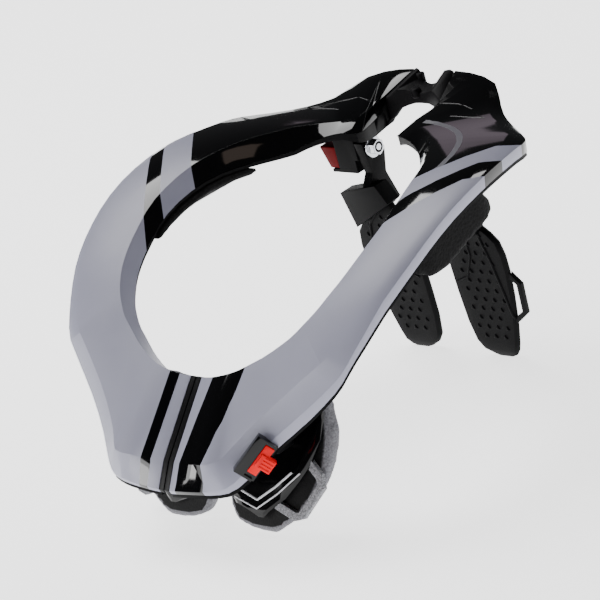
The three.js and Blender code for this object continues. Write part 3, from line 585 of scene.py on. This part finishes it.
# Back wings: flat paddles of matt black rubber, moulded with a tread of small three-sided ribs,
# a raised rim down the outer side and a raised fold near the top, and each with a nylon loop.
wing_rubber = moulded("tread_rubber", "#050506", 0.5, grain_mm=0.6, depth=0.25)
bpy.ops.object.select_all(action="DESELECT")
bpy.ops.mesh.primitive_cone_add(vertices=3, radius1=3.0 * MM, radius2=1.3 * MM, depth=1.6 * MM)
rib = bpy.context.object
finish_piece(rib, rounded(0.25, segments=2))
# The grid of ribs in mm, and how far round a rib the wing's front has to reach.
rib_rows, rib_columns = 14, 8
rib_first = (6, 8)
rib_pitch = (7.4, 6.2)
rib_margin = 4.5
rib_surround = ((0, 0), (1, 0), (-1, 0), (0, 1), (0, -1))
front_limit = -0.95  # how nearly the normal looks forwards, so that no rib stands on an edge
# Each raised line has a radius and points in mm across and up.
wing_lines = {
    "wing_rim_": (0.9, [(33, 93), (42, 84), (46, 66), (49, 44), (51, 24), (48, 12)]),
    "wing_fold_": (0.7, [(31.3, 84), (31.3, 68), (24.4, 54), (15, 50)]),
}


def front_at(wing, x, z):
    """The place and normal of the wing's front at a point in mm, if it faces forwards there."""
    found, spot, normal, index = wing.ray_cast(Vector((x * MM, -1, z * MM)), Vector((0, 1, 0)))
    return (spot, normal) if found and normal.y < front_limit else None


for side in ("left", "right"):
    wing = dressed("back_wing_" + side, "wing_" + side, rounded(0.7))
    wing.data.materials.append(wing_rubber)
    for line, (radius, points) in wing_lines.items():
        raised_line(
            line + side,
            wing,
            "wing_" + side,
            mirrored(points, side),
            radius,
            wing_rubber,
        )
    ribs = []
    for row in range(rib_rows):
        for column in range(rib_columns):
            x = rib_first[0] + (column + (row % 2) / 2) * rib_pitch[0]
            z = rib_first[1] + row * rib_pitch[1]
            near = [(x + dx * rib_margin, z + dz * rib_margin) for dx, dz in rib_surround]
            touched = [front_at(wing, *point) for point in mirrored(near, side)]
            if not all(touched):
                continue
            spot, normal = touched[0]
            turn = normal.to_track_quat("Z", "Y").to_matrix().to_4x4()
            one = rib.copy()
            one.data = rib.data.copy()
            one.data.transform(Matrix.Translation(spot) @ turn)
            bpy.context.scene.collection.objects.link(one)
            ribs.append(one)
    bpy.ops.object.select_all(action="DESELECT")
    for one in ribs:
        one.select_set(True)
    bpy.context.view_layer.objects.active = ribs[0]
    bpy.ops.object.join()
    tread = bpy.context.object
    tread.name = "wing_tread_" + side
    tread.data.materials.append(wing_rubber)
    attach(tread, nodes["wing_" + side]["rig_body"])
    loop = dressed("wing_strap_loop_" + side, "wing_loop_" + side, rounded(0.6), degrees=40)
    loop.data.materials.append(black_nylon)

bpy.data.objects.remove(rib)

# Struts: black nylon arms that turn on a bright hexagon screw in the bracket under each rear end,
# with a dull red moulded block beside each bracket that sets its height. A dark ring is painted in
# the turned head as the shade in a groove sunk there, and makes the bright screw read as one.
screw_axis = (0, 103.5 * MM, 133 * MM)
# The dark ring is painted shade: the groove sunk in the head is drawn only in colour.
shade_inner_radius, shade_outer_radius = 1.9, 3.3  # radii in mm of the dark ring sunk in the screw's head
steel, tree, shader, place = begin("turned_steel", Metallic=1.0, Roughness=0.22)
flat = add(
    tree, "ShaderNodeVectorMath", {0: place, 1: (0, 1, 1)}, operation="MULTIPLY"
).outputs[0]
away = add(
    tree, "ShaderNodeVectorMath", {0: flat, 1: screw_axis}, operation="DISTANCE"
).outputs["Value"]
outside = add(
    tree, "ShaderNodeMath", {0: away, 1: shade_inner_radius * MM}, operation="GREATER_THAN"
).outputs[0]
inside = add(
    tree, "ShaderNodeMath", {0: away, 1: shade_outer_radius * MM}, operation="LESS_THAN"
).outputs[0]
sunk_ring_shade = add(tree, "ShaderNodeMath", {0: outside, 1: inside}, operation="MULTIPLY").outputs[0]
mix = add(
    tree, "ShaderNodeMix", {0: sunk_ring_shade, 6: colour("#c9cbd0"), 7: colour("#101012")}, data_type="RGBA"
).outputs[2]
tree.links.new(mix, shader.inputs["Base Color"])
red_moulding = moulded("red_moulding", "#5e0508", 0.4, depth=0.05)
for side in ("left", "right"):
    arm = dressed("strut_arm_" + side, "strut_" + side, rounded(0.8))
    arm.data.materials.append(black_nylon)
    bolt = dressed("hinge_screw_" + side, "strut_bolt_" + side, rounded(0.35))
    bolt.data.materials.append(steel)
    bracket = dressed("hinge_bracket_" + side, "strut_bracket_" + side, rounded(0.8))
    bracket.data.materials.append(black_nylon)
    block = dressed("height_block_" + side, "adjuster_" + side, rounded(0.8))
    block.data.materials.append(red_moulding)

# Front latch: a gloss black housing on the lip of the wearer's left half, with a red acetal
# slider that is pressed into it and shines a little more than the other mouldings.
red_acetal = moulded("red_acetal", "#d8141a", 0.22, depth=0.03)
housing = dressed("latch_case", "latch_housing", rounded(0.5))
housing.data.materials.append(gloss)
slider = dressed("latch_button", "latch_slider", rounded(0.5))
slider.data.materials.append(red_acetal)
